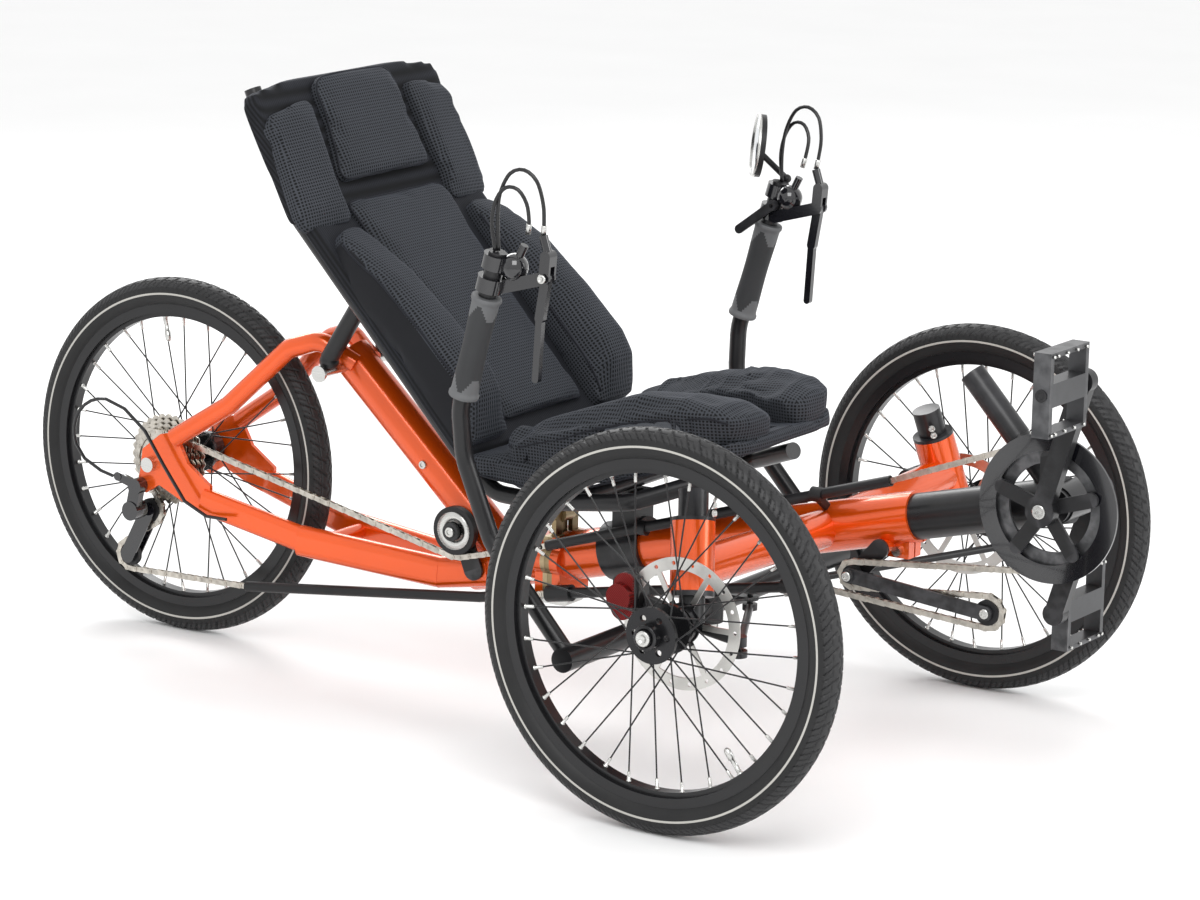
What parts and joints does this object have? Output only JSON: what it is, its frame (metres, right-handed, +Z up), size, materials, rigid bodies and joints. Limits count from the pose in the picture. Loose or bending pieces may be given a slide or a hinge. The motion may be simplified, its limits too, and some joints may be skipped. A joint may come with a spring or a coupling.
{
  "type": "recumbent adult tricycle",
  "caption": "Folding recumbent tricycle with steered front wheels, a driven rear wheel, under-seat handlebar, padded reclined seat and front cranks.",
  "frame": {"origin": "on the ground under the middle of the overall length, in the middle plane", "axes": "+X forward, +Y to the rider's left, +Z up"},
  "size_m": [1.6689, 0.864, 0.7999],
  "materials": {
    "black_gloss": "gloss",
    "black_metal": "satin",
    "black_plastic": "matt",
    "bronze": "satin",
    "cable_housing": "gloss",
    "chain_steel": "satin",
    "dark_alloy": "satin",
    "frame_paint": "gloss",
    "grip_rubber": "matt",
    "hub_black": "satin",
    "mesh_fabric": "matt",
    "red_alloy": "satin",
    "rim_black": "satin",
    "seat_tube_black": "satin",
    "steel": "satin",
    "tan_plate": "satin",
    "tyre_rubber": "matt"
  },
  "bodies": {
    "frame": {"main_frame": "frame_paint", "frame_bolts": "steel", "hinge_plate_front": "bronze", "headset_cups": "black_metal", "seat_clamp": "black_metal", "chain_tubes_front": "black_plastic", "chain_front": "chain_steel", "tensioner_bracket": "black_metal"},
    "boom": {"boom": "black_metal"},
    "cranks": {"crank_arms": "black_metal", "chainring": "dark_alloy", "chain_guard": "black_gloss"},
    "right_pedal": {"pedal_right": "dark_alloy"},
    "left_pedal": {"pedal_left": "dark_alloy"},
    "tensioner": {"tensioner_arm": "black_metal"},
    "tensioner_roller_rear": {"roller_rear": "black_plastic"},
    "tensioner_roller_front": {"roller_front": "black_plastic"},
    "rear_frame": {"rear_frame": "frame_paint", "hinge_plate_rear": "tan_plate", "frame_pins": "steel", "rear_axle": "steel", "chain_tube_rear": "black_plastic", "idler_bracket": "black_metal", "chain_rear": "chain_steel", "derailleur_cable": "cable_housing"},
    "latch": {"hinge_latch": "steel"},
    "idler": {"idler_pulley": "black_plastic"},
    "derailleur": {"derailleur_body": "black_gloss"},
    "derailleur_cage": {"derailleur_cage": "black_gloss"},
    "guide_pulley": {"guide_pulley": "black_plastic"},
    "tension_pulley": {"tension_pulley": "black_plastic"},
    "left_wheel": {"left_tyre": "tyre_rubber", "left_rim": "rim_black", "left_hub": "hub_black"},
    "right_wheel": {"right_tyre": "tyre_rubber", "right_rim": "rim_black", "right_hub": "hub_black"},
    "rear_wheel": {"rear_tyre": "tyre_rubber", "rear_rim": "rim_black", "rear_hub": "hub_black"},
    "cassette": {"cassette": "chain_steel"},
    "left_knuckle": {"left_knuckle": "black_metal", "left_caliper": "red_alloy"},
    "right_knuckle": {"right_knuckle": "black_metal", "right_caliper": "red_alloy"},
    "handlebar": {"handlebar": "black_metal", "grips": "grip_rubber", "bar_controls": "black_gloss", "handlebar_cables": "cable_housing"},
    "left_tie_rod": {"tie_rod_left": "black_metal"},
    "right_tie_rod": {"tie_rod_right": "black_metal"},
    "left_brake_lever": {"brake_lever_left": "black_gloss"},
    "right_brake_lever": {"brake_lever_right": "black_gloss"},
    "left_shift_lever": {"shift_lever_left": "black_plastic"},
    "right_shift_lever": {"shift_lever_right": "black_plastic"},
    "mirror": {"rear_mirror": "black_plastic"},
    "seat": {"seat_frame": "seat_tube_black", "seat_cushion": "mesh_fabric", "back_cushion": "mesh_fabric", "seat_struts": "seat_tube_black"}
  },
  "joints": [
    {"name": "boom_slide", "type": "slide", "parent": "frame", "child": "boom", "axis": [0.9703, 0, 0.2419], "range_m": [-0.02, 0.03], "deforming": ["chain_front"]},
    {"name": "fold", "type": "hinge", "parent": "frame", "child": "rear_frame", "pos_m": [0.0225, 0, 0.254], "axis": [0, 1, 0], "range_deg": [0, 125], "deforming": ["chain_rear"]},
    {"name": "seat_lift_off", "type": "slide", "parent": "frame", "child": "seat", "axis": [0, 0, 1], "range_m": [0, 1.32]},
    {"name": "latch_turn", "type": "hinge", "parent": "rear_frame", "child": "latch", "pos_m": [-0.0035, 0, 0.14087], "axis": [0, 1, 0], "range_deg": [0, 45]},
    {"name": "crank_turn", "type": "hinge", "parent": "boom", "child": "cranks", "pos_m": [0.7435, 0, 0.37463], "axis": [0, 1, 0], "continuous": true},
    {"name": "right_pedal_turn", "type": "hinge", "parent": "cranks", "child": "right_pedal", "pos_m": [0.79163, 0, 0.53768], "axis": [0, 1, 0], "continuous": true},
    {"name": "left_pedal_turn", "type": "hinge", "parent": "cranks", "child": "left_pedal", "pos_m": [0.69537, 0, 0.21159], "axis": [0, 1, 0], "continuous": true},
    {"name": "tensioner_swing", "type": "hinge", "parent": "frame", "child": "tensioner", "pos_m": [0.4785, 0, 0.252], "axis": [0, 1, 0], "range_deg": [-4, 6], "stiffness_Nm_per_rad": 30},
    {"name": "tensioner_rear_turn", "type": "hinge", "parent": "frame", "child": "tensioner_roller_rear", "pos_m": [0.4785, 0, 0.252], "axis": [0, 1, 0], "continuous": true},
    {"name": "tensioner_front_turn", "type": "hinge", "parent": "tensioner", "child": "tensioner_roller_front", "pos_m": [0.6665, 0, 0.234], "axis": [0, 1, 0], "continuous": true},
    {"name": "idler_turn", "type": "hinge", "parent": "rear_frame", "child": "idler", "pos_m": [-0.1095, 0, 0.219], "axis": [0, 1, 0], "continuous": true},
    {"name": "derailleur_swing", "type": "hinge", "parent": "rear_frame", "child": "derailleur", "pos_m": [-0.6075, 0, 0.212], "axis": [0, 1, 0], "range_deg": [-8, 8], "stiffness_Nm_per_rad": 20},
    {"name": "cage_swing", "type": "hinge", "parent": "derailleur", "child": "derailleur_cage", "pos_m": [-0.6155, 0, 0.177], "axis": [0, 1, 0], "range_deg": [-10, 12], "stiffness_Nm_per_rad": 8},
    {"name": "guide_turn", "type": "hinge", "parent": "derailleur_cage", "child": "guide_pulley", "pos_m": [-0.6095, 0, 0.173], "axis": [0, 1, 0], "continuous": true},
    {"name": "tension_turn", "type": "hinge", "parent": "derailleur_cage", "child": "tension_pulley", "pos_m": [-0.6445, 0, 0.106], "axis": [0, 1, 0], "continuous": true},
    {"name": "rear_wheel_turn", "type": "hinge", "parent": "rear_frame", "child": "rear_wheel", "pos_m": [-0.5915, 0, 0.243], "axis": [0, 1, 0], "continuous": true},
    {"name": "cassette_turn", "type": "hinge", "parent": "rear_wheel", "child": "cassette", "pos_m": [-0.5915, 0, 0.243], "axis": [0, 1, 0], "continuous": true},
    {"name": "left_steer", "type": "hinge", "parent": "frame", "child": "left_knuckle", "pos_m": [0.41846, 0.32532, 0.243], "axis": [-0.1754, -0.2714, 0.9464], "range_deg": [-22, 22]},
    {"name": "right_steer", "type": "hinge", "parent": "frame", "child": "right_knuckle", "pos_m": [0.41846, -0.32532, 0.243], "axis": [-0.1754, 0.2714, 0.9464], "range_deg": [-22, 22]},
    {"name": "left_wheel_turn", "type": "hinge", "parent": "left_knuckle", "child": "left_wheel", "pos_m": [0.4185, 0.395, 0.243], "axis": [0, 1, 0], "continuous": true},
    {"name": "right_wheel_turn", "type": "hinge", "parent": "right_knuckle", "child": "right_wheel", "pos_m": [0.4185, -0.395, 0.243], "axis": [0, 1, 0], "continuous": true},
    {"name": "steering", "type": "hinge", "parent": "frame", "child": "handlebar", "pos_m": [0.2435, 0, 0.166], "axis": [0, 0, 1], "range_deg": [-22, 22]},
    {"name": "left_tie_turn", "type": "hinge", "parent": "handlebar", "child": "left_tie_rod", "pos_m": [0.30494, 0, 0.195], "axis": [-0.0504, 0, 0.9987], "range_deg": [-26, 26]},
    {"name": "right_tie_turn", "type": "hinge", "parent": "handlebar", "child": "right_tie_rod", "pos_m": [0.30494, 0, 0.173], "axis": [-0.0504, 0, 0.9987], "range_deg": [-26, 26]},
    {"name": "left_brake_squeeze", "type": "hinge", "parent": "handlebar", "child": "left_brake_lever", "pos_m": [0.2025, 0, 0.626], "axis": [0, 1, 0], "range_deg": [0, 14], "stiffness_Nm_per_rad": 2.5, "springref_deg": -5.73},
    {"name": "right_brake_squeeze", "type": "hinge", "parent": "handlebar", "child": "right_brake_lever", "pos_m": [0.2025, 0, 0.626], "axis": [0, 1, 0], "range_deg": [0, 14], "stiffness_Nm_per_rad": 2.5, "springref_deg": -5.73},
    {"name": "left_shift", "type": "hinge", "parent": "handlebar", "child": "left_shift_lever", "pos_m": [0.1405, 0, 0.624], "axis": [0, 1, 0], "range_deg": [-25, 25]},
    {"name": "right_shift", "type": "hinge", "parent": "handlebar", "child": "right_shift_lever", "pos_m": [0.1405, 0, 0.624], "axis": [0, 1, 0], "range_deg": [-25, 25]},
    {"name": "mirror_turn", "type": "hinge", "parent": "handlebar", "child": "mirror", "pos_m": [0.1355, 0.35, 0.6535], "axis": [0, 0, 1], "range_deg": [-20, 20]}
  ],
  "couplings": [
    {"joint": "seat_lift_off", "follows": "fold", "m_per_rad": 0.60046},
    {"joint": "left_steer", "follows": "steering", "ratio": 1},
    {"joint": "right_steer", "follows": "steering", "ratio": 1},
    {"joint": "left_tie_turn", "follows": "steering", "ratio": -1.0255},
    {"joint": "right_tie_turn", "follows": "steering", "ratio": -1.0255},
    {"joint": "idler_turn", "follows": "crank_turn", "ratio": -2.1889},
    {"joint": "tensioner_rear_turn", "follows": "crank_turn", "ratio": -4.925},
    {"joint": "tensioner_front_turn", "follows": "crank_turn", "ratio": 3.94},
    {"joint": "cassette_turn", "follows": "crank_turn", "ratio": 1.97},
    {"joint": "guide_turn", "follows": "crank_turn", "ratio": -3.94},
    {"joint": "tension_turn", "follows": "crank_turn", "ratio": 3.94}
  ]
}
